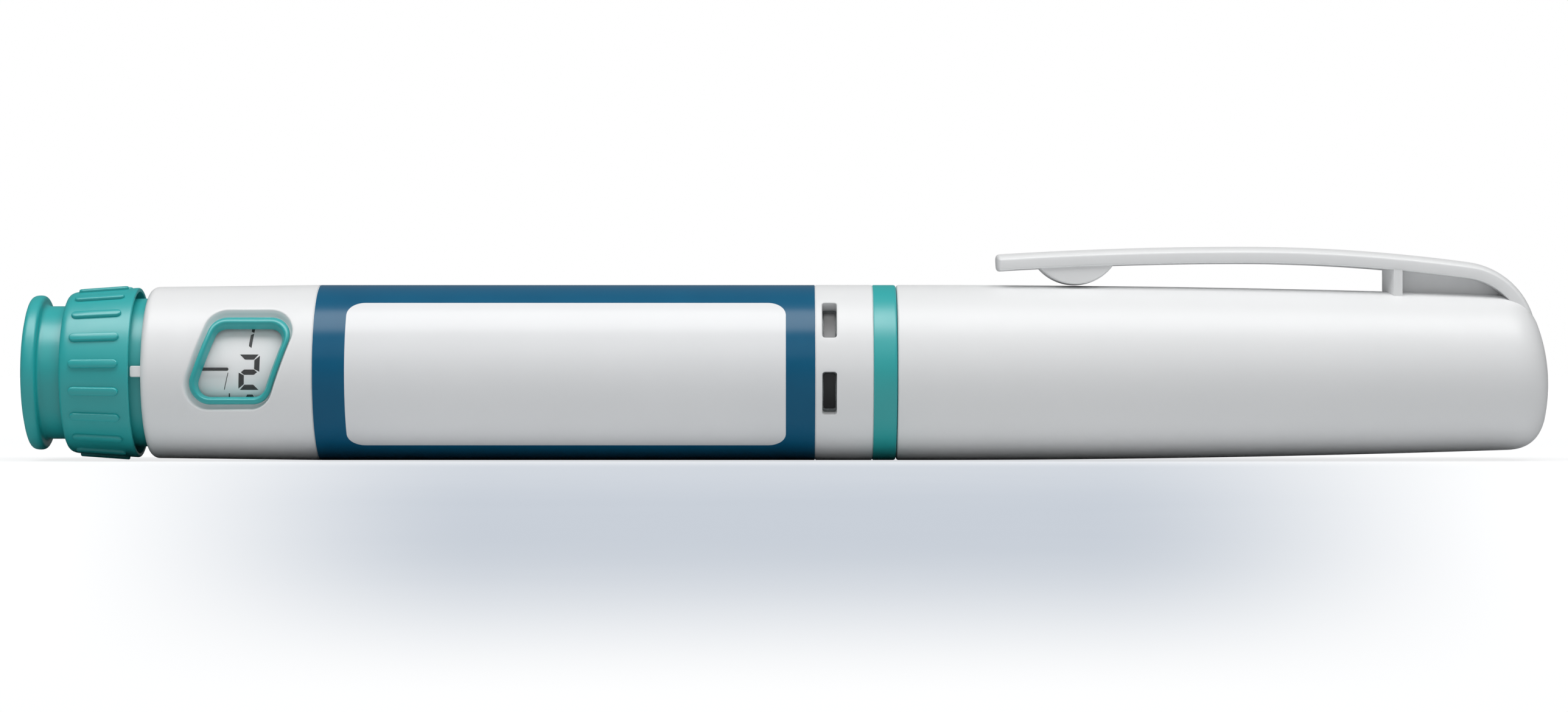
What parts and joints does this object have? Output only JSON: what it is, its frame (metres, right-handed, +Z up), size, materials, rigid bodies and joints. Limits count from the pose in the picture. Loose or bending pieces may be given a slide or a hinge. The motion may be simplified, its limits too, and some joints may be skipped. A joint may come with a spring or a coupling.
{
  "type": "prefilled injection pen",
  "caption": "Prefilled injection pen with a turning dose dial, a push button, a glass cartridge and a pull-off cap with a pocket clip.",
  "frame": {"origin": "under the middle of the pen, on the surface that it lies on", "axes": "+X along the pen from the button to the cap's end, +Z up through the clip, the window faces -Y"},
  "size_m": [0.1559, 0.018, 0.0219],
  "materials": {
    "white_plastic": "satin moulded",
    "teal_plastic": "satin moulded",
    "clear_plastic": "clear",
    "label_film": "satin film with a white panel",
    "inner_plastic": "plain moulded",
    "clutch_plastic": "plain moulded",
    "glass": "clear",
    "aluminium": "satin",
    "rubber": "matte",
    "spring_steel": "drawn wire"
  },
  "bodies": {
    "body": {"housing": "white_plastic", "window_frame": "teal_plastic", "window_lens": "clear_plastic", "dose_label": "label_film", "thread_insert": "inner_plastic", "rod_nut": "inner_plastic", "ratchet_ring": "inner_plastic", "collar_ring": "teal_plastic", "cartridge_holder": "clear_plastic", "cartridge_glass": "glass", "crimp_cap": "aluminium", "septum": "rubber"},
    "carriage": {"drive_sleeve": "inner_plastic", "clutch_ring": "clutch_plastic", "button_spring": "spring_steel"},
    "dial": {"number_sleeve": "white_plastic", "dose_selector": "teal_plastic"},
    "stop_nut": {"last_dose_nut": "inner_plastic"},
    "button": {"injection_button": "teal_plastic"},
    "piston": {"plunger": "rubber", "rod_foot": "inner_plastic"},
    "rod": {"piston_rod": "inner_plastic"},
    "cap": {"cap_shell": "white_plastic"},
    "clip": {"cap_clip": "white_plastic"}
  },
  "joints": [
    {"name": "dose_slide", "type": "slide", "parent": "body", "child": "carriage", "axis": [-1, 0, 0], "range_m": [-0.0011, 0.0209]},
    {"name": "dial_turn", "type": "hinge", "parent": "carriage", "child": "dial", "pos_m": [-0.07, 0, 0.009], "axis": [-1, 0, 0], "range_deg": [-72, 1368]},
    {"name": "nut_creep", "type": "slide", "parent": "dial", "child": "stop_nut", "axis": [1, 0, 0], "range_m": [0, 0.012]},
    {"name": "button_press", "type": "slide", "parent": "carriage", "child": "button", "axis": [1, 0, 0], "range_m": [0, 0.0015], "stiffness_N_per_m": 600, "deforming": ["button_spring"]},
    {"name": "piston_slide", "type": "slide", "parent": "body", "child": "piston", "axis": [1, 0, 0], "range_m": [0, 0.041]},
    {"name": "rod_turn", "type": "hinge", "parent": "piston", "child": "rod", "pos_m": [0.004, 0, 0.009], "axis": [1, 0, 0], "range_deg": [0, 1231]},
    {"name": "cap_pull", "type": "slide", "parent": "body", "child": "cap", "axis": [1, 0, 0], "range_m": [0, 0.09]},
    {"name": "clip_flex", "type": "hinge", "parent": "cap", "child": "clip", "pos_m": [0.061, 0, 0.02134], "axis": [0, 1, 0], "range_deg": [0, 5], "stiffness_Nm_per_rad": 2.5}
  ],
  "couplings": [
    {"joint": "dial_turn", "follows": "dose_slide", "rad_per_m": 1142.4},
    {"joint": "rod_turn", "follows": "piston_slide", "rad_per_m": 523.6}
  ]
}
